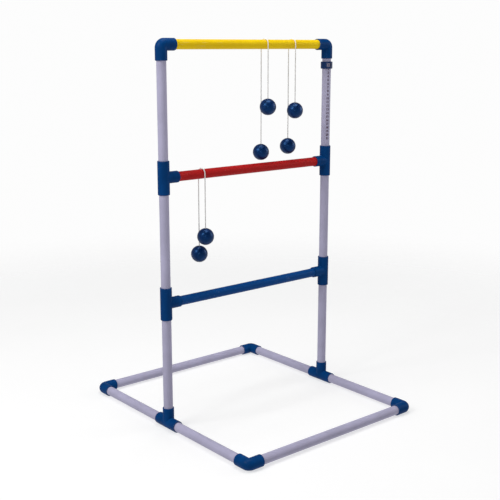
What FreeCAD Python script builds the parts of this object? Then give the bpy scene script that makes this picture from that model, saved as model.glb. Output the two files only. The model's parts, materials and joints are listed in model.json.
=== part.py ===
"""Ladder toss frame: push-fit tube ladder on a rectangular floor base, with a score ring and three bolas.

Frame: origin on the floor under the middle of the frame, +X from the left upright to the right one,
+Y from the front rail to the rear rail, +Z up. Sizes are in millimetres.
"""
import FreeCAD, Part
import math
import os
import Sketcher

SIZES = {
    # the ladder and its floor base, between tube axes
    "upright_spacing": 578,
    "rung_pitch": 335,
    "base_depth": 680,
    # tubes
    "tube_diameter": 25.4,
    "tube_wall": 2.2,
    # moulded fittings, measured from where their axes cross
    "fitting_diameter": 31.4,
    "branch_diameter": 30.8,
    "elbow_reach": 40,
    "elbow_bend": 9,
    "tee_reach": 44,
    "branch_reach": 43,
    "socket_depth": 24,
    "socket_clearance": 0.05,
    "mouth_round": 1.2,
    "mouth_lead_in": 0.5,
    "junction_round": 1.5,
    # score ring on the right upper upright, and the way its window faces
    "ring_diameter": 34,
    "ring_height": 20,
    "ring_clearance": 0.3,
    "ring_round": 1.5,
    "ring_drop": 8.5,
    "window_width": 13,
    "window_height": 11,
    "scale_turn": 20,
    # bolas: two balls on one cord that hangs over a rung
    "ball_diameter": 45.4,
    "cord_hole": 4,
    "recess_diameter": 10,
    "recess_depth": 9,
    "knot_diameter": 8,
    "knot_flat_latitude": 45,
    "cord_diameter": 3,
    "cord_clearance": 0.3,
    # each bola: its cord's length between the middles of its balls, its place along its rung, and how
    # far its front ball hangs below the rung's axis
    "bola_a_length": 508,
    "bola_a_place": 52,
    "bola_a_front_drop": 168,
    "bola_b_length": 512,
    "bola_b_place": 153,
    "bola_b_front_drop": 182,
    "bola_c_length": 433,
    "bola_c_place": -167,
    "bola_c_front_drop": 167.5,
}

# the rung that each bola hangs over, counted from the rails' height
BOLAS = {"bola_a": 3, "bola_b": 3, "bola_c": 2}

# lengths closer than this are the same, and a cut that removes less than this volume cuts nothing
SAME_LENGTH = 0.01
LEAST_CUT = 1
# a new circle's radius before its constraint sets it
ROUGH_RADIUS = 10
# how much of the shorter run beside it each arc of a cord takes
ARC_SHARE = 0.45

X_AXIS = FreeCAD.Vector(1, 0, 0)
Y_AXIS = FreeCAD.Vector(0, 1, 0)
Z_AXIS = FreeCAD.Vector(0, 0, 1)
UPRIGHT = FreeCAD.Rotation()
ALONG_X = FreeCAD.Rotation(Y_AXIS, 90)
ALONG_Y = FreeCAD.Rotation(X_AXIS, -90)
HALF_TURN = FreeCAD.Rotation(Z_AXIS, 180)

# places shared by many pieces, as expressions of the sheet
LEFT = "-Sizes.upright_spacing / 2"
RIGHT = "Sizes.upright_spacing / 2"
FRONT = "-Sizes.base_depth / 2"
REAR = "Sizes.base_depth / 2"
RAIL_HEIGHT = "Sizes.fitting_diameter / 2"
# from where a fitting's axes cross to where a tube stops inside it
ELBOW_STOP = "(Sizes.elbow_reach - Sizes.socket_depth)"
TEE_STOP = "(Sizes.tee_reach - Sizes.socket_depth)"
BRANCH_STOP = "(Sizes.branch_reach - Sizes.socket_depth)"
# from a rung's axis to the middle of a cord that lies on it, and from a ball's middle to its knot
CORD_REACH = "(Sizes.tube_diameter / 2 + Sizes.cord_diameter / 2 + Sizes.cord_clearance)"
KNOT_ROOF = "(Sizes.ball_diameter / 2 - Sizes.recess_depth)"
KNOT_FLAT = "(Sizes.knot_diameter / 2 * sin(Sizes.knot_flat_latitude))"

doc = FreeCAD.newDocument("LadderTossFrame")
pieces = []


def rung_height(number):
    """Expression for the height of a rung's axis; the rails are number 0."""
    return f"{RAIL_HEIGHT} + {number} * Sizes.rung_pitch"


def make_sheet():
    sheet = doc.addObject("Spreadsheet::Sheet", "Sizes")
    for row, (alias, value) in enumerate(SIZES.items(), start=1):
        sheet.set(f"A{row}", alias.replace("_", " "))
        sheet.set(f"B{row}", str(value))
        sheet.setAlias(f"B{row}", alias)
    doc.recompute()


def new_body(label):
    body = doc.addObject("PartDesign::Body", label)
    body.Label = label
    pieces.append(body)
    return body


def place(piece, x, y, z, rotation=UPRIGHT):
    """Put a piece at a place given by three expressions of the sheet."""
    piece.Placement = FreeCAD.Placement(FreeCAD.Vector(), rotation)
    for axis, expression in zip("xyz", (x, y, z)):
        piece.setExpression(f"Placement.Base.{axis}", expression)


def sketch_on(body, plane_role, name, offset="0"):
    """A sketch on one of the body's own origin planes, moved along the plane's normal."""
    plane = next(f for f in body.Origin.OriginFeatures if f.Role == plane_role)
    sketch = body.newObject("Sketcher::SketchObject", name)
    sketch.AttachmentSupport = (plane, [""])
    sketch.MapMode = "FlatFace"
    sketch.setExpression("AttachmentOffset.Base.z", offset)
    return sketch


def add_circle(sketch, radius):
    """A circle about the sketch's origin whose radius follows an expression."""
    circle = sketch.addGeometry(Part.Circle(FreeCAD.Vector(), Z_AXIS, ROUGH_RADIUS), False)
    sketch.addConstraint(Sketcher.Constraint("Coincident", circle, 3, -1, 1))
    constraint = sketch.addConstraint(Sketcher.Constraint("Radius", circle, ROUGH_RADIUS))
    sketch.setExpression(f"Constraints[{constraint}]", radius)


def disc(body, plane_role, name, radius, offset="0"):
    sketch = sketch_on(body, plane_role, name + "_sketch", offset)
    add_circle(sketch, radius)
    return sketch


def pad(body, name, sketch, length, reverse=False):
    feature = body.newObject("PartDesign::Pad", name)
    feature.Profile = sketch
    feature.setExpression("Length", length)
    feature.Reversed = reverse
    return feature


def pocket(body, name, sketch, length, reverse=False):
    """Cut a sketch out of the body, and check that it removes material."""
    doc.recompute()
    before = body.Shape.Volume
    feature = body.newObject("PartDesign::Pocket", name)
    feature.Profile = sketch
    feature.setExpression("Length", length)
    feature.Reversed = reverse
    doc.recompute()
    if body.Shape.Volume > before - LEAST_CUT:
        raise RuntimeError(f"{body.Label}: {name} cuts nothing")
    return feature


def edge_names(body, wanted):
    """Names of the edges of a body's shape that a test picks; an edge shrunk to a point has no curve."""
    doc.recompute()
    edges = enumerate(body.Tip.Shape.Edges, start=1)
    return [f"Edge{i}" for i, edge in edges if not edge.Degenerated and wanted(edge)]


def dress(body, kind, name, size_property, size, wanted):
    """Round or chamfer the edges that a test picks."""
    names = edge_names(body, wanted)
    if not names:
        raise RuntimeError(f"{body.Label}: {name} finds no edge")
    base = body.Tip
    feature = body.newObject(kind, name)
    feature.Base = (base, names)
    feature.setExpression(size_property, size)
    doc.recompute()
    return feature


def is_circle(edge, radius):
    return edge.Curve.TypeId == "Part::GeomCircle" and abs(edge.Curve.Radius - radius) < SAME_LENGTH


def is_rim(edge, radius, reach):
    """Whether an edge is a mouth's rim: a circle of this radius, this far from the fitting's middle."""
    return is_circle(edge, radius) and abs(edge.Curve.Center.Length - reach) < SAME_LENGTH


def make_tube(label, length):
    """A tube along its own +Z, from its lower end."""
    body = new_body(label)
    sketch = sketch_on(body, "XY_Plane", label + "_ring_sketch")
    add_circle(sketch, "Sizes.tube_diameter / 2")
    add_circle(sketch, "Sizes.tube_diameter / 2 - Sizes.tube_wall")
    pad(body, label + "_tube", sketch, length)
    return body


def cut_socket(body, plane_role, name, reach, reverse=False):
    """A blind socket for a tube, with a narrower way on through the fitting."""
    wide = "Sizes.tube_diameter / 2 + Sizes.socket_clearance"
    narrow = "Sizes.tube_diameter / 2 - Sizes.tube_wall"
    socket = disc(body, plane_role, name + "_socket", wide, reach)
    pocket(body, name + "_socket", socket, "Sizes.socket_depth", reverse)
    passage = disc(body, plane_role, name + "_passage", narrow, reach)
    pocket(body, name + "_passage", passage, f"abs({reach})", reverse)


def round_mouths(body, mouths):
    """Round the outer rim of each mouth, given as its outer radius and its reach."""
    dress(body, "PartDesign::Fillet", body.Label + "_mouths", "Radius", "Sizes.mouth_round",
          lambda edge: any(is_rim(edge, radius, reach) for radius, reach in mouths))


def open_mouths(body, reaches):
    """Chamfer the inner rim of each mouth, so that a tube goes in easily."""
    radius = SIZES["tube_diameter"] / 2 + SIZES["socket_clearance"]
    dress(body, "PartDesign::Chamfer", body.Label + "_lead_ins", "Size", "Sizes.mouth_lead_in",
          lambda edge: any(is_rim(edge, radius, reach) for reach in reaches))


def bend_profile(body):
    """An elbow's section, cut flat at the bend's axis, which is the sketch's first construction line."""
    radius = SIZES["fitting_diameter"] / 2
    bend = SIZES["elbow_bend"]
    half_chord = math.sqrt(radius ** 2 - bend ** 2)
    start = math.atan2(-bend, half_chord)
    circle = Part.Circle(FreeCAD.Vector(), Z_AXIS, radius)
    right_end = FreeCAD.Vector(half_chord, -bend, 0)
    left_end = FreeCAD.Vector(-half_chord, -bend, 0)

    profile = sketch_on(body, "YZ_Plane", body.Label + "_bend_sketch", "Sizes.elbow_bend")
    profile.addGeometry(Part.ArcOfCircle(circle, start, math.pi - start), False)
    profile.addGeometry(Part.LineSegment(left_end, right_end), False)
    profile.addGeometry(Part.LineSegment(left_end, right_end), True)
    profile.addConstraint([
        Sketcher.Constraint("Coincident", 0, 3, -1, 1),
        Sketcher.Constraint("Coincident", 0, 1, 1, 2),
        Sketcher.Constraint("Coincident", 0, 2, 1, 1),
        Sketcher.Constraint("Coincident", 2, 1, 1, 1),
        Sketcher.Constraint("Coincident", 2, 2, 1, 2),
        Sketcher.Constraint("Horizontal", 1),
    ])
    size = profile.addConstraint(Sketcher.Constraint("Radius", 0, radius))
    profile.setExpression(f"Constraints[{size}]", "Sizes.fitting_diameter / 2")
    depth = profile.addConstraint(Sketcher.Constraint("DistanceY", 1, 1, -1, 1, bend))
    profile.setExpression(f"Constraints[{depth}]", "Sizes.elbow_bend")
    doc.recompute()
    return profile


def make_elbow(label):
    """A right-angle elbow with its arms along its own +X and -Z, rounded outside and sharp inside."""
    body = new_body(label)
    profile = bend_profile(body)
    bend = body.newObject("PartDesign::Revolution", label + "_bend")
    bend.Profile = profile
    bend.ReferenceAxis = (profile, ["Axis0"])
    bend.Angle = 90
    bend.Reversed = True
    doc.recompute()

    arm_length = "Sizes.elbow_reach - Sizes.elbow_bend"
    side = disc(body, "YZ_Plane", label + "_side_arm", "Sizes.fitting_diameter / 2", "Sizes.elbow_bend")
    pad(body, label + "_side_arm", side, arm_length)
    down = disc(body, "XY_Plane", label + "_down_arm", "Sizes.fitting_diameter / 2", "-Sizes.elbow_bend")
    pad(body, label + "_down_arm", down, arm_length, reverse=True)

    round_mouths(body, [(SIZES["fitting_diameter"] / 2, SIZES["elbow_reach"])])
    cut_socket(body, "YZ_Plane", label + "_side", "Sizes.elbow_reach")
    cut_socket(body, "XY_Plane", label + "_down", "-Sizes.elbow_reach", reverse=True)
    open_mouths(body, [SIZES["elbow_reach"]])
    return body


def make_tee(label):
    """A tee with its run along its own Z and its branch along +X."""
    body = new_body(label)
    run = disc(body, "XY_Plane", label + "_run", "Sizes.fitting_diameter / 2", "-Sizes.tee_reach")
    pad(body, label + "_run", run, "2 * Sizes.tee_reach")
    branch = disc(body, "YZ_Plane", label + "_branch", "Sizes.branch_diameter / 2")
    pad(body, label + "_branch", branch, "Sizes.branch_reach")

    dress(body, "PartDesign::Fillet", label + "_junction", "Radius", "Sizes.junction_round",
          lambda edge: edge.Curve.TypeId not in ("Part::GeomCircle", "Part::GeomLine"))
    round_mouths(body, [(SIZES["fitting_diameter"] / 2, SIZES["tee_reach"]),
                        (SIZES["branch_diameter"] / 2, SIZES["branch_reach"])])
    cut_socket(body, "XY_Plane", label + "_upper", "Sizes.tee_reach")
    cut_socket(body, "XY_Plane", label + "_lower", "-Sizes.tee_reach", reverse=True)
    cut_socket(body, "YZ_Plane", label + "_branch", "Sizes.branch_reach")
    open_mouths(body, [SIZES["tee_reach"], SIZES["branch_reach"]])
    return body


def make_score_ring():
    """The sliding score ring, centred on its own origin, with a reading window facing -Y."""
    body = new_body("score_ring")
    collar = sketch_on(body, "XY_Plane", "score_ring_collar_sketch", "-Sizes.ring_height / 2")
    add_circle(collar, "Sizes.ring_diameter / 2")
    add_circle(collar, "Sizes.tube_diameter / 2 + Sizes.ring_clearance")
    pad(body, "score_ring_collar", collar, "Sizes.ring_height")
    dress(body, "PartDesign::Fillet", "score_ring_rims", "Radius", "Sizes.ring_round",
          lambda edge: is_circle(edge, SIZES["ring_diameter"] / 2))

    window = sketch_on(body, "XZ_Plane", "score_ring_window_sketch")
    half_width = SIZES["window_width"] / 2
    half_height = SIZES["window_height"] / 2
    corners = [FreeCAD.Vector(-half_width, -half_height, 0), FreeCAD.Vector(half_width, -half_height, 0),
               FreeCAD.Vector(half_width, half_height, 0), FreeCAD.Vector(-half_width, half_height, 0)]
    for start, end in zip(corners, corners[1:] + corners[:1]):
        window.addGeometry(Part.LineSegment(start, end), False)
    for line in range(4):
        window.addConstraint(Sketcher.Constraint("Coincident", line, 2, (line + 1) % 4, 1))
    window.addConstraint([
        Sketcher.Constraint("Horizontal", 0),
        Sketcher.Constraint("Vertical", 1),
        Sketcher.Constraint("Horizontal", 2),
        Sketcher.Constraint("Vertical", 3),
        Sketcher.Constraint("Symmetric", 0, 1, 1, 2, -1, 1),
    ])
    width = window.addConstraint(Sketcher.Constraint("DistanceX", 0, 1, 0, 2, 2 * half_width))
    window.setExpression(f"Constraints[{width}]", "Sizes.window_width")
    height = window.addConstraint(Sketcher.Constraint("DistanceY", 1, 1, 1, 2, 2 * half_height))
    window.setExpression(f"Constraints[{height}]", "Sizes.window_height")
    pocket(body, "score_ring_window", window, "Sizes.ring_diameter", reverse=True)
    return body


def make_ball(label):
    """A bola ball about its own origin, with a cord hole along Z and a knot recess underneath."""
    body = new_body(label)
    ball = body.newObject("PartDesign::AdditiveSphere", label + "_ball")
    ball.setExpression("Radius", "Sizes.ball_diameter / 2")
    bottom = "-Sizes.ball_diameter / 2"
    hole = disc(body, "XY_Plane", label + "_cord_hole", "Sizes.cord_hole / 2", bottom)
    pocket(body, label + "_cord_hole", hole, "Sizes.ball_diameter", reverse=True)
    recess = disc(body, "XY_Plane", label + "_knot_recess", "Sizes.recess_diameter / 2", bottom)
    pocket(body, label + "_knot_recess", recess, "Sizes.recess_depth", reverse=True)
    return body


def make_knot(label):
    """The knot at a cord's end: round, with a flat top that bears on the roof of the ball's recess."""
    knot = doc.addObject("Part::Sphere", label)
    knot.Label = label
    knot.setExpression("Radius", "Sizes.knot_diameter / 2")
    knot.setExpression("Angle2", "Sizes.knot_flat_latitude")
    pieces.append(knot)
    return knot


def cord_route(points):
    """Straight runs joined by tangent arcs, one for each corner of the route, and the arcs' radii."""
    corners = []
    for before, corner, after in zip(points, points[1:], points[2:]):
        run_in = corner - before
        run_out = after - corner
        turn = run_in.getAngle(run_out)
        tangent = ARC_SHARE * min(run_in.Length, run_out.Length)
        run_in.normalize()
        run_out.normalize()
        inwards = run_out - run_in
        inwards.normalize()
        radius = tangent / math.tan(turn / 2)
        middle = corner + inwards * (radius / math.cos(turn / 2) - radius)
        corners.append((corner - run_in * tangent, middle, corner + run_out * tangent, radius))

    edges = []
    start = points[0]
    for arc_start, arc_middle, arc_end, _ in corners:
        edges.append(Part.LineSegment(start, arc_start).toShape())
        edges.append(Part.Arc(arc_start, arc_middle, arc_end).toShape())
        start = arc_end
    edges.append(Part.LineSegment(start, points[-1]).toShape())
    return Part.Wire(edges), [radius for _, _, _, radius in corners]


def make_cord(label, points):
    """A plain tube along a cord's route."""
    path, radii = cord_route(points)
    radius = SIZES["cord_diameter"] / 2
    section = Part.Wire(Part.Circle(points[0], points[1] - points[0], radius).toShape())
    tube = path.makePipeShell([section], True, False)
    expected = math.pi * radius ** 2 * path.Length
    print(f"{label}: path {path.Length:.1f} mm, arc radii {[round(r, 2) for r in radii]}, "
          f"volume {tube.Volume / expected:.4f} of section times length")
    cord = doc.addObject("Part::Feature", label)
    cord.Label = label
    cord.Shape = tube
    pieces.append(cord)
    return cord


def make_bola(name, rung):
    """Two balls, held by the knots at the ends of one cord that goes over a rung."""
    front_drop = f"Sizes.{name}_front_drop"
    rear_drop = f"(Sizes.{name}_length - {front_drop} - pi * {CORD_REACH})"
    sides = {"front": (f"-{CORD_REACH}", front_drop), "rear": (CORD_REACH, rear_drop)}
    knots = {}
    for side, (y, drop) in sides.items():
        height = f"{rung_height(rung)} - {drop}"
        place(make_ball(f"{name}_{side}_ball"), f"Sizes.{name}_place", y, height)
        knots[side] = make_knot(f"{name}_{side}_knot")
        place(knots[side], f"Sizes.{name}_place", y, f"{height} - {KNOT_ROOF} - {KNOT_FLAT}")
    doc.recompute()

    flat = Z_AXIS * (SIZES["knot_diameter"] / 2 * math.sin(math.radians(SIZES["knot_flat_latitude"])))
    front_end = knots["front"].Placement.Base + flat
    rear_end = knots["rear"].Placement.Base + flat
    top = SIZES["fitting_diameter"] / 2 + rung * SIZES["rung_pitch"] + rear_end.y
    corners = [FreeCAD.Vector(end.x, end.y, top) for end in (front_end, rear_end)]
    make_cord(f"{name}_cord", [front_end] + corners + [rear_end])


def make_frame():
    # rungs
    top_length = f"Sizes.upright_spacing - 2 * {ELBOW_STOP}"
    rung_length = f"Sizes.upright_spacing - 2 * {BRANCH_STOP}"
    for label, number, length in (("top_rung", 3, top_length), ("middle_rung", 2, rung_length),
                                  ("bottom_rung", 1, rung_length)):
        place(make_tube(label, length), f"-({length}) / 2", "0", rung_height(number), ALONG_X)

    # front and rear rails
    for label, y in (("front_rail", FRONT), ("rear_rail", REAR)):
        place(make_tube(label, top_length), f"-({top_length}) / 2", y, RAIL_HEIGHT, ALONG_X)

    for side, x, turn in (("left", LEFT, UPRIGHT), ("right", RIGHT, HALF_TURN)):
        # uprights, from the base tee to the top elbow
        lower = f"Sizes.rung_pitch - {BRANCH_STOP} - {TEE_STOP}"
        middle = f"Sizes.rung_pitch - 2 * {TEE_STOP}"
        upper = f"Sizes.rung_pitch - {TEE_STOP} - {ELBOW_STOP}"
        place(make_tube(f"{side}_lower_upright", lower), x, "0", f"{rung_height(0)} + {BRANCH_STOP}")
        place(make_tube(f"{side}_middle_upright", middle), x, "0", f"{rung_height(1)} + {TEE_STOP}")
        place(make_tube(f"{side}_upper_upright", upper), x, "0", f"{rung_height(2)} + {TEE_STOP}")

        # side rails, each in two tubes that meet at the base tee
        half = f"Sizes.base_depth / 2 - {ELBOW_STOP} - {TEE_STOP}"
        rail_start = f"{FRONT} + {ELBOW_STOP}"
        place(make_tube(f"{side}_front_side_rail", half), x, rail_start, RAIL_HEIGHT, ALONG_Y)
        place(make_tube(f"{side}_rear_side_rail", half), x, TEE_STOP, RAIL_HEIGHT, ALONG_Y)

        # fittings of the upright
        place(make_elbow(f"{side}_top_elbow"), x, "0", rung_height(3), turn)
        place(make_tee(f"{side}_middle_tee"), x, "0", rung_height(2), turn)
        place(make_tee(f"{side}_bottom_tee"), x, "0", rung_height(1), turn)
        branch_up = FreeCAD.Rotation(FreeCAD.Vector(1, 1, 1), -120)
        place(make_tee(f"{side}_base_tee"), x, "0", RAIL_HEIGHT, branch_up)

    # corner elbows of the base: arms along +X and +Y at the front left, then a quarter turn each
    lay_down = FreeCAD.Rotation(X_AXIS, 90)
    base_corners = [("front_left_elbow", LEFT, FRONT), ("front_right_elbow", RIGHT, FRONT),
                    ("rear_right_elbow", RIGHT, REAR), ("rear_left_elbow", LEFT, REAR)]
    for quarter, (label, x, y) in enumerate(base_corners):
        turn = FreeCAD.Rotation(Z_AXIS, 90 * quarter)
        place(make_elbow(label), x, y, RAIL_HEIGHT, turn.multiply(lay_down))


def place_score_ring():
    ring = make_score_ring()
    facing = FreeCAD.Rotation(Z_AXIS, -SIZES["scale_turn"])
    drop = "Sizes.elbow_reach + Sizes.ring_drop + Sizes.ring_height / 2"
    place(ring, RIGHT, "0", f"{rung_height(3)} - ({drop})", facing)


def check_document():
    doc.recompute()
    for item in doc.Objects:
        if "Invalid" in item.State or "Error" in item.State:
            raise RuntimeError(f"{item.Label} failed: {item.State}")
    for piece in pieces:
        shape = piece.Shape
        if shape.isNull() or not shape.isValid() or not shape.Solids:
            raise RuntimeError(f"{piece.Label} has a bad shape")


def export_pieces():
    os.makedirs("parts", exist_ok=True)
    for piece in pieces:
        piece.Shape.exportStep(f"parts/{piece.Label}.step")
    print(f"{len(pieces)} pieces written")


make_sheet()
make_frame()
place_score_ring()
for bola_name, bola_rung in BOLAS.items():
    make_bola(bola_name, bola_rung)
check_document()
export_pieces()
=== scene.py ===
# Looks of the ladder toss frame: push-fit tubes and fittings, a sliding score ring with its printed
# scale, and three bolas hung over the rungs. Metres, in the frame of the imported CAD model.
import json
import math

import bmesh
import bpy
import numpy as np
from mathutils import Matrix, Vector


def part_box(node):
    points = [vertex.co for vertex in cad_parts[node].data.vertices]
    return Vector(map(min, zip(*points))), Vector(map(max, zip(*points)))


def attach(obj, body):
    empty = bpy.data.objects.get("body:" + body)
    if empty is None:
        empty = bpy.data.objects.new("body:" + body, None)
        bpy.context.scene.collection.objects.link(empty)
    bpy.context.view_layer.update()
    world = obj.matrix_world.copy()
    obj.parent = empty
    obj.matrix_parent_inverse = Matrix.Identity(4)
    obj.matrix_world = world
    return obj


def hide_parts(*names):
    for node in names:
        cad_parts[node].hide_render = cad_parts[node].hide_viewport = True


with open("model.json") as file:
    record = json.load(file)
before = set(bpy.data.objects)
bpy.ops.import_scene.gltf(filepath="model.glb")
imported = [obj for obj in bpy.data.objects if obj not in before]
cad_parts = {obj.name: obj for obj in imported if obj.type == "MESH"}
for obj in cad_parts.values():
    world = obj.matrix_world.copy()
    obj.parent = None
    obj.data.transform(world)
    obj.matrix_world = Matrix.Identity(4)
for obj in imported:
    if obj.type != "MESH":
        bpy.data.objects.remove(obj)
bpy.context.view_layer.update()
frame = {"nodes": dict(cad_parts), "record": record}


def box_of(node):
    """A node's lowest corner, highest corner and middle."""
    low, high = (Vector(corner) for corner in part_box(node))
    return low, high, (low + high) / 2


def link(obj):
    bpy.context.scene.collection.objects.link(obj)
    return obj


def mesh_object(name, mesh, material):
    mesh.materials.append(material)
    return link(bpy.data.objects.new(name, mesh))


def smooth(mesh):
    mesh.polygons.foreach_set("use_smooth", [True] * len(mesh.polygons))


# ---------------------------------------------------------------- camera

AIM = Vector((0, 0, 0.455))
CAMERA_TURN = math.radians(39.9)
CAMERA_RISE = math.radians(12.6)
CAMERA_DISTANCE = 2.58
LENS = 65.9


def make_camera():
    """A camera at the front left of the frame, a little above its middle."""
    level = math.cos(CAMERA_RISE) * CAMERA_DISTANCE
    away = Vector((-math.sin(CAMERA_TURN) * level, -math.cos(CAMERA_TURN) * level,
                   math.sin(CAMERA_RISE) * CAMERA_DISTANCE))
    camera = link(bpy.data.objects.new("camera", bpy.data.cameras.new("camera")))
    camera.data.lens = LENS
    camera.location = AIM + away
    camera.rotation_euler = (-away).to_track_quat("-Z", "Y").to_euler()
    bpy.context.scene.camera = camera


# ---------------------------------------------------------------- materials

WHITE = (0.485, 0.464, 0.634)
YELLOW = (0.99, 0.665, 0.004)
RED = (0.490, 0.013, 0.014)
BLUE = (0.0006, 0.061, 0.255)
FITTING_BLUE = (0.0006, 0.047, 0.188)
RING_BLUE = (0.0008, 0.029, 0.128)
GREY_SCUFF = (0.36, 0.35, 0.38, 1.0)
PALE_SCUFF = (0.80, 0.78, 0.76, 1.0)
BALL_BLUE = (0.0005, 0.015, 0.082)
BALL_GLOSS = (0.10, 0.36, 0.90, 1.0)
BALL_RUB = (0.06, 0.10, 0.22, 1.0)
CLEAN_YARN = (0.90, 0.89, 0.87, 1.0)
SOILED_YARN = (0.80, 0.79, 0.77, 1.0)
FIBRE_SHADE = (0.62, 0.61, 0.61, 1.0)
# painted shade for the hollows between a braid's strands
CREVICE_PAINTED_SHADE = (0.60, 0.59, 0.60, 1.0)
INK = (0.055, 0.007, 0.026, 1.0)
WORN_INK = (0.22, 0.16, 0.24, 1.0)


class Look:
    """A node material, built up from one shader and the nodes that feed it."""

    def __init__(self, name, roughness, specular=0.5):
        self.material = bpy.data.materials.new(name)
        self.material.use_nodes = True
        self.tree = self.material.node_tree
        self.shader = self.tree.nodes["Principled BSDF"]
        self.set("Roughness", roughness)
        self.set("Specular IOR Level", specular)
        self.place = self.node("TexCoord").outputs["Object"]

    def set(self, name, value):
        """Give one of the shader's sockets a value or another node's output."""
        self.feed(self.shader.inputs[name], value)

    def feed(self, socket, value):
        if isinstance(value, bpy.types.NodeSocket):
            self.tree.links.new(value, socket)
        else:
            socket.default_value = value

    def node(self, kind, inputs=(), **settings):
        """A new node; inputs are pairs of a socket's name or number and what it gets."""
        made = self.tree.nodes.new("ShaderNode" + kind)
        for name, value in settings.items():
            setattr(made, name, value)
        for socket, value in inputs:
            self.feed(made.inputs[socket], value)
        return made

    def scaled(self, vector, scale):
        return self.node("VectorMath", [(0, vector), (1, scale)], operation="MULTIPLY").outputs[0]

    def noise(self, scale, detail=2.0, stretch=(1, 1, 1), turn=(0, 0, 0)):
        """Noise with so many lumps to the metre, from 0 to 1, drawn out where its stretch is small."""
        vector = self.place
        if any(turn):
            vector = self.node("Mapping", [("Vector", vector), ("Rotation", turn)]).outputs[0]
        vector = self.scaled(vector, stretch)
        inputs = [("Vector", vector), ("Scale", scale), ("Detail", detail)]
        return self.node("TexNoise", inputs).outputs["Fac"]

    def span(self, value, low, high, to_low=0.0, to_high=1.0):
        """Where a value lies between two others, eased, as a number between two more."""
        inputs = [("Value", value), ("From Min", low), ("From Max", high),
                  ("To Min", to_low), ("To Max", to_high)]
        return self.node("MapRange", inputs, interpolation_type="SMOOTHSTEP").outputs["Result"]

    def math(self, operation, *values):
        return self.node("Math", list(enumerate(values)), operation=operation).outputs[0]

    def mix(self, share, first, second):
        made = self.node("Mix", data_type="RGBA")
        self.feed(made.inputs[0], share)
        self.feed(made.inputs[6], first)
        self.feed(made.inputs[7], second)
        return made.outputs[2]

    def bump(self, *layers):
        """Bump from layers of a height between 0 and 1 and how tall it is in metres."""
        normal = None
        for height, tall in layers:
            inputs = [("Height", height), ("Distance", tall), ("Strength", 1.0)]
            if normal is not None:
                inputs.append(("Normal", normal))
            normal = self.node("Bump", inputs).outputs[0]
        self.set("Normal", normal)


def shade(color, share):
    """A colour made lighter or darker."""
    return tuple(min(1.0, part * share) for part in color[:3]) + (1.0,)


def tube_look(name, color, axis, scuff_color, roughness=0.4):
    """Extruded tube: fine drawing lines along it, cloudy tint, thin scratches and a few specks."""
    look = Look(name, roughness, specular=0.09)
    along = [1.0, 1.0, 1.0]
    along["XYZ".index(axis)] = 0.004
    lines = look.noise(1400, 3, along)
    clouds = look.noise(16, 3)
    handling = look.noise(70, 4)

    scratch_places = look.span(look.noise(30, 2), 0.52, 0.66)
    long_scratches = look.span(look.noise(900, 1, along), 0.70, 0.74)
    leaning = look.noise(1, 1, (700, 60, 700), (0.6, 0.9, 0.3))
    short_scratches = look.span(leaning, 0.73, 0.77)
    any_scratch = look.math("MAXIMUM", long_scratches, short_scratches)
    scratches = look.math("MULTIPLY", scratch_places, any_scratch)
    specks = look.span(look.noise(420, 1), 0.80, 0.84)

    tinted = look.mix(look.span(clouds, 0.3, 0.7), shade(color, 0.93), shade(color, 1.05))
    lined = look.mix(look.span(lines, 0.3, 0.7, 0.0, 0.22), tinted, shade(color, 0.84))
    scuffed = look.mix(look.math("MULTIPLY", scratches, 0.5), lined, scuff_color)
    look.set("Base Color", look.mix(look.math("MULTIPLY", specks, 0.45), scuffed, shade(color, 0.35)))

    dull = look.span(handling, 0.35, 0.7, roughness - 0.05, roughness + 0.12)
    look.set("Roughness", look.math("ADD", dull, look.math("MULTIPLY", scratches, 0.2)))
    grooves = look.math("MULTIPLY", scratches, -1.0)
    look.bump((lines, 0.00003), (look.noise(240, 2), 0.00005), (grooves, 0.00002))
    return look.material


def moulded_look(name, color, roughness, middle=None, rim=None, specular=0.06):
    """Injection-moulded plastic: orange peel, flow marks, hairline scratches and, where the middle of
    a fitting and the distance of its mouths' rims are given, paler worn rims."""
    look = Look(name, roughness, specular)
    flow = look.noise(38, 3, (1, 1, 0.45))
    peel = look.noise(520, 2)
    grain = look.noise(2600, 2)
    level_scratches = look.span(look.noise(1, 1, (90, 1100, 1100), (0.2, 0.5, 0.9)), 0.72, 0.76)
    upright_scratches = look.span(look.noise(1, 1, (1100, 1100, 90), (0.8, 0.3, 0.4)), 0.73, 0.77)
    patches = look.span(look.noise(45, 2), 0.48, 0.62)
    any_scratch = look.math("MAXIMUM", level_scratches, upright_scratches)
    scratches = look.math("MULTIPLY", patches, any_scratch)

    tinted = look.mix(look.span(flow, 0.3, 0.7), shade(color, 0.86), shade(color, 1.12))
    pale = tuple(part * 0.75 + 0.07 for part in color) + (1.0,)
    worn = look.math("MULTIPLY", scratches, 0.35)
    if middle is not None:
        offset = look.node("VectorMath", [(0, look.place), (1, middle)], operation="SUBTRACT").outputs[0]
        distance = look.node("VectorMath", [(0, offset)], operation="LENGTH").outputs["Value"]
        broken = look.span(look.noise(300, 3), 0.35, 0.6, 0.15, 0.6)
        edge = look.math("MULTIPLY", look.span(distance, rim - 0.0016, rim), broken)
        worn = look.math("MAXIMUM", worn, edge)
    look.set("Base Color", look.mix(worn, tinted, pale))
    look.set("Roughness", look.math("ADD", look.span(flow, 0.3, 0.7, roughness - 0.05, roughness + 0.08),
                                    look.math("MULTIPLY", worn, 0.25)))
    look.bump((peel, 0.00006), (grain, 0.00001), (look.math("MULTIPLY", scratches, -1.0), 0.00002))
    return look.material


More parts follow.
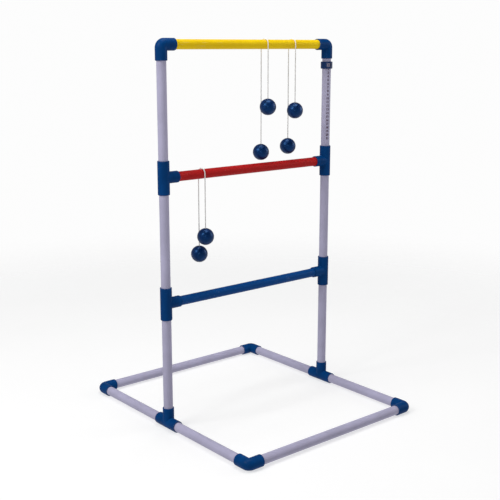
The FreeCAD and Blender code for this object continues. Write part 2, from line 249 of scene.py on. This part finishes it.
def ball_look():
    """Hard glossy plastic, slightly clouded, with fine rub marks from play."""
    look = Look("blue_ball_gloss", 0.36, specular=0.9)
    look.set("Specular Tint", BALL_GLOSS)
    clouds = look.noise(60, 3)
    rubbed = look.span(look.noise(110, 4), 0.5, 0.68)
    hairs = look.span(look.noise(1, 2, (1500, 120, 1500), (0.4, 0.7, 0.2)), 0.66, 0.72)
    marks = look.math("MULTIPLY", rubbed, hairs)
    tinted = look.mix(look.span(clouds, 0.3, 0.7), shade(BALL_BLUE, 0.8), shade(BALL_BLUE, 1.3))
    look.set("Base Color", look.mix(look.math("MULTIPLY", marks, 0.2), tinted, BALL_RUB))
    look.set("Roughness", look.math("ADD", look.span(rubbed, 0.0, 1.0, 0.32, 0.42),
                                    look.math("MULTIPLY", marks, 0.2)))
    look.bump((look.noise(190, 2), 0.00006), (look.math("MULTIPLY", marks, -1.0), 0.00001))
    return look.material


def cord_look():
    """Braided polyester: off-white yarn, with painted shade between the strands, and soft fibres."""
    look = Look("white_braid", 0.75, specular=0.2)
    look.set("Sheen Weight", 0.25)
    look.set("Sheen Roughness", 0.5)
    relief = look.node("Attribute", attribute_name="relief").outputs["Fac"]
    fibres = look.noise(5200, 2)
    soiling = look.noise(24, 3)
    yarn = look.mix(look.span(soiling, 0.35, 0.7), CLEAN_YARN, SOILED_YARN)
    yarn = look.mix(look.span(fibres, 0.35, 0.7, 0.0, 0.15), yarn, FIBRE_SHADE)
    # painted shade: the yarn is darkened where the braid's relief is low, between the strands
    look.set("Base Color", look.mix(look.span(relief, 0.0, 0.75), CREVICE_PAINTED_SHADE, yarn))
    look.bump((fibres, 0.00008))
    return look.material


def ink_look():
    """Printed numbers: dark maroon ink, worn thin in places."""
    look = Look("scale_ink", 0.5, specular=0.3)
    worn = look.span(look.noise(900, 3), 0.58, 0.74, 0.0, 0.4)
    look.set("Base Color", look.mix(worn, INK, WORN_INK))
    look.bump((look.noise(2500, 1), 0.00001))
    return look.material


def axis_of(node):
    """The letter of the axis that a tube runs along."""
    low, high, _ = box_of(node)
    size = high - low
    return "XYZ"[list(size).index(max(size))]


def dress_tubes():
    """Give each tube the look of its slot, drawn along the way that the tube runs."""
    colors = {"white_tube": (WHITE, GREY_SCUFF), "yellow_tube": (YELLOW, PALE_SCUFF),
              "red_tube": (RED, PALE_SCUFF), "blue_tube": (BLUE, PALE_SCUFF)}
    made = {}
    for part in frame["record"]["subparts"]:
        slot = part["material_slot"]
        if slot not in colors:
            continue
        key = (slot, axis_of(part["node"]))
        if key not in made:
            color, scuff = colors[slot]
            made[key] = tube_look(f"{slot}_along_{key[1].lower()}", color, key[1], scuff)
        set_material(part["node"], made[key])


def set_material(node, material):
    """Put one material on every slot of a CAD node."""
    obj = frame["nodes"][node]
    for slot in obj.material_slots:
        slot.link = "OBJECT"
        slot.material = material


def fittings():
    return [part["node"] for part in frame["record"]["subparts"] if part["material_slot"] == "blue_fitting"]


def fitting_axes(node):
    """Where a fitting's axes cross, worked out from the tubes that meet there."""
    middle = box_of(node)[2]
    side = "left" if middle.x < 0 else "right"
    upright = box_of(f"{side}_lower_upright")[2]
    rail_height = box_of("front_rail")[2].z
    heights = [rail_height] + [box_of(f"{name}_rung")[2].z for name in ("bottom", "middle", "top")]
    depths = [box_of("front_rail")[2].y, upright.y, box_of("rear_rail")[2].y]
    return Vector((upright.x, min(depths, key=lambda y: abs(y - middle.y)),
                   min(heights, key=lambda z: abs(z - middle.z))))


def dress_fittings():
    for node in fittings():
        middle = fitting_axes(node)
        obj = frame["nodes"][node]
        rim = max((vertex.co - middle).length for vertex in obj.data.vertices)
        set_material(node, moulded_look(f"{node}_plastic", FITTING_BLUE, 0.4, middle, rim))


# ---------------------------------------------------------------- moulding lines

LINE_RADIUS = 0.00022
LINE_SINK = 0.00010
# how far off the tubes' skin, and how high over the floor, a point of a line lies at least
SOCKET_MARGIN = 0.0011
FLOOR_MARGIN = 0.003


def parting_plane(node):
    """Normal of the plane that both of a fitting's axes lie in."""
    low, high, _ = box_of(node)
    size = high - low
    return Vector([1.0 if part == min(size) else 0.0 for part in size])


def make_parting_lines(material):
    """The fine raised line that the mould's two halves leave round the outside of each fitting."""
    curve = bpy.data.curves.new("fitting_parting_lines", "CURVE")
    curve.dimensions = "3D"
    curve.bevel_depth = LINE_RADIUS
    curve.bevel_resolution = 1
    low, high, _ = box_of("top_rung")
    tube_radius = (high.z - low.z) / 2
    for node in fittings():
        middle = fitting_axes(node)
        for line in outline_runs(node, middle, parting_plane(node), tube_radius):
            spline = curve.splines.new("POLY")
            spline.points.add(len(line) - 1)
            for point, place in zip(spline.points, line):
                inwards = (middle - place).normalized() * LINE_SINK
                point.co = (*(place + inwards), 1)
    holder = link(bpy.data.objects.new("fitting_parting_lines_curve", curve))
    bpy.context.view_layer.update()
    graph = bpy.context.evaluated_depsgraph_get()
    mesh = bpy.data.meshes.new_from_object(holder.evaluated_get(graph))
    bpy.data.objects.remove(holder)
    smooth(mesh)
    mesh.materials.clear()
    lines = mesh_object("fitting_parting_lines", mesh, material)
    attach(lines, "frame")


def outline_runs(node, middle, normal, tube_radius):
    """The fitting's outer outline on its parting plane, as runs of points, clear of the floor."""
    cut = bmesh.new()
    cut.from_mesh(frame["nodes"][node].data)
    bmesh.ops.remove_doubles(cut, verts=cut.verts, dist=1e-6)
    section = bmesh.ops.bisect_plane(cut, geom=cut.verts[:] + cut.edges[:] + cut.faces[:],
                                     plane_co=middle, plane_no=normal)["geom_cut"]
    edges = {item for item in section if isinstance(item, bmesh.types.BMEdge)}

    def outside(vertex):
        """Whether a point lies on the outer skin: off every socket and clear of the floor."""
        offset = vertex.co - middle
        flat = sorted(abs(part) for part in offset)
        return flat[1] > tube_radius + SOCKET_MARGIN and vertex.co.z > FLOOR_MARGIN

    kept = {edge for edge in edges if all(outside(vertex) for vertex in edge.verts)}
    runs = []
    while kept:
        edge = kept.pop()
        run = [edge.verts[0], edge.verts[1]]
        for end in (-1, 0):
            while True:
                following = [other for other in run[end].link_edges if other in kept]
                if not following:
                    break
                kept.remove(following[0])
                reached = following[0].other_vert(run[end])
                run.insert(len(run) if end == -1 else 0, reached)
        runs.append([vertex.co.copy() for vertex in run])
    cut.free()
    return runs


# ---------------------------------------------------------------- swept tubes and braid

def smooth_line(route, resolution=400):
    """Points along the smooth NURBS line whose control points are the route's."""
    curve = bpy.data.curves.new("route", "CURVE")
    curve.dimensions = "3D"
    curve.resolution_u = resolution
    spline = curve.splines.new("NURBS")
    spline.points.add(len(route) - 1)
    for point, place in zip(spline.points, route):
        point.co = (*place, 1)
    spline.order_u = 3
    spline.use_endpoint_u = True
    holder = link(bpy.data.objects.new("route", curve))
    bpy.context.view_layer.update()
    graph = bpy.context.evaluated_depsgraph_get()
    mesh = bpy.data.meshes.new_from_object(holder.evaluated_get(graph))
    line = np.array([vertex.co for vertex in mesh.vertices])
    bpy.data.objects.remove(holder)
    bpy.data.meshes.remove(mesh)
    return line


def even_steps(line, step):
    """The same line read at even steps, and how far along it each of them is."""
    lengths = np.linalg.norm(np.diff(line, axis=0), axis=1)
    travelled = np.concatenate([[0], np.cumsum(lengths)])
    along = np.linspace(0, travelled[-1], max(2, round(travelled[-1] / step)) + 1)
    return np.column_stack([np.interp(along, travelled, line[:, k]) for k in range(3)]), along


def frames_along(line):
    """Two directions across the line at each point, carried along it without twist."""
    tangents = np.gradient(line, axis=0)
    tangents /= np.linalg.norm(tangents, axis=1)[:, None]
    first = np.cross(tangents[0], (1.0, 0.0, 0.0))
    if np.linalg.norm(first) < 0.1:
        first = np.cross(tangents[0], (0.0, 1.0, 0.0))
    across = [first / np.linalg.norm(first)]
    for tangent in tangents[1:]:
        carried = across[-1] - tangent * np.dot(across[-1], tangent)
        across.append(carried / np.linalg.norm(carried))
    across = np.array(across)
    return across, np.cross(tangents, across)


BRAID_STRANDS = 8
BRAID_PITCH = 0.0105
# how deep the braid is on a cord of this radius; a thinner one has less
BRAID_DEPTH = 0.00028
BRAID_RADIUS = 0.0015


def braid_relief(angle, along):
    """Height of a braid's surface from 0 to 1: two sets of strands wound opposite ways, each going
    over and under the other."""
    turns = along / BRAID_PITCH * 2 * math.pi
    left = BRAID_STRANDS * (angle + turns) / 2
    right = BRAID_STRANDS * (angle - turns) / 2
    over = 0.5 + 0.5 * np.sin(left) * np.sin(right)
    left_strand = np.abs(np.cos(left)) ** 0.7
    right_strand = np.abs(np.cos(right)) ** 0.7
    return np.maximum(left_strand * (0.45 + 0.55 * over), right_strand * (1.0 - 0.55 * over))


def braided_tube(name, line, radius, sides, step, material, round_ends=False):
    """A closed braided tube along a line, with its relief kept as a point attribute."""
    points, along = even_steps(line, step)
    across, other = frames_along(points)
    angles = np.arange(sides) * 2 * math.pi / sides
    relief = braid_relief(angles[None, :], along[:, None])
    radii = radius - BRAID_DEPTH * (radius / BRAID_RADIUS) * (1 - relief)
    if round_ends:
        near_end = np.minimum(along, along[-1] - along) / radius
        radii = radii * np.sqrt(np.clip(1 - (1 - np.clip(near_end, 0.05, 1)) ** 2, 0, 1))[:, None]
    directions = (across[:, None, :] * np.cos(angles)[None, :, None]
                  + other[:, None, :] * np.sin(angles)[None, :, None])
    rings = points[:, None, :] + directions * radii[:, :, None]
    vertices = np.concatenate([rings.reshape(-1, 3), points[:1], points[-1:]])
    count = len(points)
    faces = []
    for ring in range(count - 1):
        for side in range(sides):
            after = (side + 1) % sides
            faces.append((ring * sides + side, ring * sides + after,
                          (ring + 1) * sides + after, (ring + 1) * sides + side))
    first_cap, last_cap = count * sides, count * sides + 1
    for side in range(sides):
        after = (side + 1) % sides
        faces.append((first_cap, after, side))
        faces.append((last_cap, (count - 1) * sides + side, (count - 1) * sides + after))
    mesh = bpy.data.meshes.new(name)
    mesh.from_pydata(vertices.tolist(), [], faces)
    mesh.update()
    smooth(mesh)
    heights = mesh.attributes.new("relief", "FLOAT", "POINT")
    heights.data.foreach_set("value", np.concatenate([relief.ravel(), [0.5, 0.5]]))
    return mesh_object(name, mesh, material)


# ---------------------------------------------------------------- bolas

CORD_DIAMETER = 0.003
CORD_CLEARANCE = 0.0003
CORD_SIDES = 32
BRAID_STEP = 0.0004
BOLA_RUNGS = {"bola_a": "top_rung", "bola_b": "top_rung", "bola_c": "middle_rung"}


def cord_route(name):
    """A cord's route from its front knot straight up, over the rung and straight down to its rear one."""
    rung_low, rung_high, rung = box_of(BOLA_RUNGS[name])
    reach = (rung_high.z - rung_low.z) / 2 + CORD_DIAMETER / 2 + CORD_CLEARANCE
    front_top = box_of(f"{name}_front_knot")[1].z
    rear_top = box_of(f"{name}_rear_knot")[1].z
    x = box_of(f"{name}_front_ball")[2].x
    return [(x, -reach, front_top), (x, -reach, rung.z - reach), (x, -reach, rung.z + reach),
            (x, reach, rung.z + reach), (x, reach, rung.z - reach), (x, reach, rear_top)]


def make_cord(name, material):
    route = cord_route(name)
    line = smooth_line(route)
    cord = braided_tube(f"{name}_braid", line, CORD_DIAMETER / 2, CORD_SIDES, BRAID_STEP, material)
    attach(cord, name)
    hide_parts(f"{name}_cord")


KNOT_RADIUS = 0.0024
KNOT_STRAND = 0.0012
KNOT_SIDES = 20
# the middle of the tied loops, below the top of the knot's solid
KNOT_DROP = 0.0034


def make_knot(name, side, material):
    """A tight overhand knot with a short sealed tail, seated in the recess under its ball."""
    node = f"{name}_{side}_knot"
    _, high, middle = box_of(node)
    turns = np.linspace(0.12, 2 * math.pi - 0.12, 40)
    swing = KNOT_RADIUS + KNOT_STRAND * np.cos(3 * turns)
    loops = np.column_stack([swing * np.cos(2 * turns), swing * np.sin(2 * turns),
                             KNOT_STRAND * 1.05 * np.sin(3 * turns)])
    centre = Vector((middle.x, middle.y, high.z - KNOT_DROP))
    entry = [(0, 0, 0.0040), (0.0002, 0, 0.0024)]
    tail = [(0.0012, -0.0006, -0.0022), (0.0006, -0.0002, -0.0040)]
    route = [tuple(centre + Vector(point)) for point in entry + loops.tolist() + tail]
    line = smooth_line(route, 24)
    knot = braided_tube(f"{node}_tied", line, KNOT_STRAND, KNOT_SIDES, BRAID_STEP, material, True)
    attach(knot, name)
    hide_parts(node)


HOLE_RADIUS = 0.002
RECESS_RADIUS = 0.005
RECESS_DEPTH = 0.009
SEAM_DEPTH = 0.00014
SEAM_WIDTH = 0.00028
BALL_SIDES = 96
BALL_EDGE = 0.0004
# the rows of points on a ball: above the seam, below it, and across the seam itself in degrees
UPPER_ROWS = 56
LOWER_ROWS = 50
SEAM_ROWS = (-1.4, -1.0, -0.7, -0.45, -0.2, 0, 0.2, 0.45, 0.7, 1.0, 1.4)
SEAM_EDGE = math.radians(2)


def ball_profile(radius):
    """Half of a ball's section, from the cord hole's top, over the outside and up into the recess."""
    top = math.asin(math.sqrt(1 - (HOLE_RADIUS / radius) ** 2))
    bottom = -math.asin(math.sqrt(1 - (RECESS_RADIUS / radius) ** 2))
    latitudes = np.concatenate([np.linspace(top, SEAM_EDGE, UPPER_ROWS), np.radians(SEAM_ROWS)[::-1],
                                np.linspace(-SEAM_EDGE, bottom, LOWER_ROWS)])
    outside = []
    for latitude in latitudes:
        groove = SEAM_DEPTH * math.exp(-(radius * latitude / SEAM_WIDTH) ** 2)
        outside.append(((radius - groove) * math.cos(latitude), radius * math.sin(latitude)))
    roof = RECESS_DEPTH - radius
    recess = [(RECESS_RADIUS, z) for z in np.linspace(outside[-1][1], roof, 10)[1:]]
    across = [(r, roof) for r in np.linspace(RECESS_RADIUS, HOLE_RADIUS, 5)[1:]]
    hole = [(HOLE_RADIUS, z) for z in np.linspace(roof, outside[0][1], 20)[1:-1]]
    return outside + recess + across + hole


def make_ball(name, side, material):
    """A ball turned about its cord hole, with softened edges at the hole and the recess."""
    node = f"{name}_{side}_ball"
    low, high, middle = box_of(node)
    profile = ball_profile((high.x - low.x) / 2)
    angles = np.arange(BALL_SIDES) * 2 * math.pi / BALL_SIDES
    vertices = [(middle.x + r * math.cos(a), middle.y + r * math.sin(a), middle.z + z)
                for r, z in profile for a in angles]
    faces = []
    for ring in range(len(profile)):
        below = (ring + 1) % len(profile)
        for sector in range(BALL_SIDES):
            after = (sector + 1) % BALL_SIDES
            faces.append((ring * BALL_SIDES + sector, below * BALL_SIDES + sector,
                          below * BALL_SIDES + after, ring * BALL_SIDES + after))
    mesh = bpy.data.meshes.new(f"{node}_shell")
    mesh.from_pydata(vertices, [], faces)
    mesh.update()
    smooth(mesh)
    ball = mesh_object(f"{node}_shell", mesh, material)
    edges = ball.modifiers.new("soft_edges", "BEVEL")
    edges.width = BALL_EDGE
    edges.segments = 3
    edges.limit_method = "ANGLE"
    edges.angle_limit = math.radians(40)
    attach(ball, name)
    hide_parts(node)


# ---------------------------------------------------------------- printed scale

SCALE_TURN = math.radians(20)
SCALE_NUMBERS = 21
SCALE_STEP = 0.0105
NUMBER_SIZE = 0.0084
NUMBER_BOLDNESS = 0.00032
INK_HEIGHT = 0.00006
INK_ROOT = 0.00012
CUT_STEP = 0.0005


def number_mesh(number):
    """A number as a flat, slightly thick mesh."""
    text = bpy.data.curves.new("number", "FONT")
    text.body = str(number)
    text.size = NUMBER_SIZE
    text.offset = NUMBER_BOLDNESS
    text.align_x = "CENTER"
    text.align_y = "CENTER"
    text.resolution_u = 6
    text.extrude = (INK_HEIGHT + INK_ROOT) / 2
    holder = link(bpy.data.objects.new("number", text))
    bpy.context.view_layer.update()
    graph = bpy.context.evaluated_depsgraph_get()
    mesh = bpy.data.meshes.new_from_object(holder.evaluated_get(graph))
    bpy.data.objects.remove(holder)
    return mesh


def make_scale(material):
    """Numbers 1 to 21 down the right upper upright, each cut into upright strips and bent round it.
    Number 1 shows in the ring's window."""
    low, high, upright = box_of("right_upper_upright")
    radius = (high.x - low.x) / 2
    first = box_of("score_ring")[2].z
    facing = Vector((-math.sin(SCALE_TURN), -math.cos(SCALE_TURN), 0))
    rightwards = Vector((math.cos(SCALE_TURN), -math.sin(SCALE_TURN), 0))
    scale = bmesh.new()
    for number in range(1, SCALE_NUMBERS + 1):
        flat = number_mesh(number)
        digits = bmesh.new()
        digits.from_mesh(flat)
        bpy.data.meshes.remove(flat)
        bmesh.ops.remove_doubles(digits, verts=digits.verts, dist=1e-6)
        middle_x = (min(v.co.x for v in digits.verts) + max(v.co.x for v in digits.verts)) / 2
        middle_y = (min(v.co.y for v in digits.verts) + max(v.co.y for v in digits.verts)) / 2
        half_width = max(v.co.x for v in digits.verts) - middle_x
        for step in range(math.ceil(-half_width / CUT_STEP), math.floor(half_width / CUT_STEP) + 1):
            bmesh.ops.bisect_plane(digits, geom=digits.verts[:] + digits.edges[:] + digits.faces[:],
                                   plane_co=(middle_x + step * CUT_STEP, 0, 0), plane_no=(1, 0, 0))
        for vertex in digits.verts:
            angle = (vertex.co.x - middle_x) / radius
            out = radius + (INK_HEIGHT - INK_ROOT) / 2 + vertex.co.z
            height = first - (number - 1) * SCALE_STEP + vertex.co.y - middle_y
            vertex.co = (Vector((upright.x, upright.y, height))
                         + (facing * math.cos(angle) + rightwards * math.sin(angle)) * out)
        bent = bpy.data.meshes.new("bent")
        digits.to_mesh(bent)
        digits.free()
        scale.from_mesh(bent)
        bpy.data.meshes.remove(bent)
    mesh = bpy.data.meshes.new("score_scale")
    scale.to_mesh(mesh)
    scale.free()
    numbers = mesh_object("score_scale", mesh, material)
    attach(numbers, "frame")


# ---------------------------------------------------------------- stage and lights

BACKDROP = 0.98
SKY_ABOVE = 0.0
SKY_ABOVE_FROM = 0.9
SKY_BELOW = 0.87
SKY_BELOW_TO = -0.6
FLOOR_SHADE = (0.45, 0.45, 0.45, 1.0)
FLOOR_GLOW = 0.60
FLOOR_FADE_FROM = 0.9
FLOOR_FADE_TO = 2.6


def make_floor():
    """A pale floor that runs out into the pale backdrop, so that no horizon shows."""
    look = Look("floor", 0.7, specular=0.1)
    pattern = look.noise(3, 3)
    look.set("Base Color", look.mix(look.span(pattern, 0.3, 0.7), FLOOR_SHADE, shade(FLOOR_SHADE, 1.02)))
    look.set("Emission Color", (1, 1, 1, 1))
    look.set("Emission Strength", FLOOR_GLOW)
    clear = look.node("BsdfTransparent").outputs[0]
    distance = look.node("VectorMath", [(0, look.place)], operation="LENGTH").outputs["Value"]
    away = look.span(distance, FLOOR_FADE_FROM, FLOOR_FADE_TO)
    mixed = look.node("MixShader", [(0, away), (1, look.shader.outputs[0]), (2, clear)])
    look.feed(look.tree.nodes["Material Output"].inputs["Surface"], mixed.outputs[0])
    mesh = bpy.data.meshes.new("floor")
    side = FLOOR_FADE_TO
    corners = [(-side, -side, 0), (side, -side, 0), (side, side, 0), (-side, side, 0)]
    mesh.from_pydata(corners, [], [(0, 1, 2, 3)])
    floor = mesh_object("floor", mesh, look.material)
    floor.visible_glossy = False
    floor.visible_diffuse = False


def softbox(name, place, size, energy):
    light = bpy.data.lights.new(name, "AREA")
    light.shape = "RECTANGLE"
    light.size, light.size_y = size
    light.energy = energy
    lamp = link(bpy.data.objects.new(name, light))
    lamp.location = place
    lamp.rotation_euler = (AIM - Vector(place)).to_track_quat("-Z", "Y").to_euler()


def make_sky():
    """A pale backdrop to look at, and soft light from below that fades to nothing overhead, as if
    thrown back by the floor."""
    world = bpy.data.worlds.new("studio")
    world.use_nodes = True
    nodes, links = world.node_tree.nodes, world.node_tree.links
    backdrop = nodes["Background"]
    backdrop.inputs["Color"].default_value = (1, 1, 1, 1)
    backdrop.inputs["Strength"].default_value = BACKDROP
    lighting = nodes.new("ShaderNodeBackground")
    direction = nodes.new("ShaderNodeTexCoord")
    parts = nodes.new("ShaderNodeSeparateXYZ")
    height = nodes.new("ShaderNodeMapRange")
    height.inputs["From Min"].default_value = SKY_BELOW_TO
    height.inputs["From Max"].default_value = SKY_ABOVE_FROM
    height.inputs["To Min"].default_value = SKY_BELOW
    height.inputs["To Max"].default_value = SKY_ABOVE
    links.new(direction.outputs["Generated"], parts.inputs[0])
    links.new(parts.outputs["Z"], height.inputs["Value"])
    links.new(height.outputs["Result"], lighting.inputs["Strength"])
    paths = nodes.new("ShaderNodeLightPath")
    chosen = nodes.new("ShaderNodeMixShader")
    links.new(paths.outputs["Is Camera Ray"], chosen.inputs[0])
    links.new(lighting.outputs[0], chosen.inputs[1])
    links.new(backdrop.outputs[0], chosen.inputs[2])
    links.new(chosen.outputs[0], nodes["World Output"].inputs["Surface"])
    bpy.context.scene.world = world


def make_lights():
    softbox("key", (-2.9, 0.1, 2.9), (1.6, 1.6), 70)
    softbox("top", (0.1, 0.0, 3.2), (1.6, 1.6), 44)
    softbox("right", (3.0, -1.5, 1.6), (1.6, 1.6), 19)
    softbox("front_left", (-2.0, -2.2, 1.35), (0.6, 0.6), 5)


make_camera()
braid = cord_look()
gloss = ball_look()
for bola in BOLA_RUNGS:
    make_cord(bola, braid)
    for bola_side in ("front", "rear"):
        make_ball(bola, bola_side, gloss)
        make_knot(bola, bola_side, braid)
dress_tubes()
dress_fittings()
make_parting_lines(moulded_look("parting_line_plastic", FITTING_BLUE, 0.42))
set_material("score_ring", moulded_look("score_ring_plastic", RING_BLUE, 0.3, specular=0.25))
make_scale(ink_look())
make_floor()
make_sky()
make_lights()
bpy.context.scene.view_settings.view_transform = "Standard"
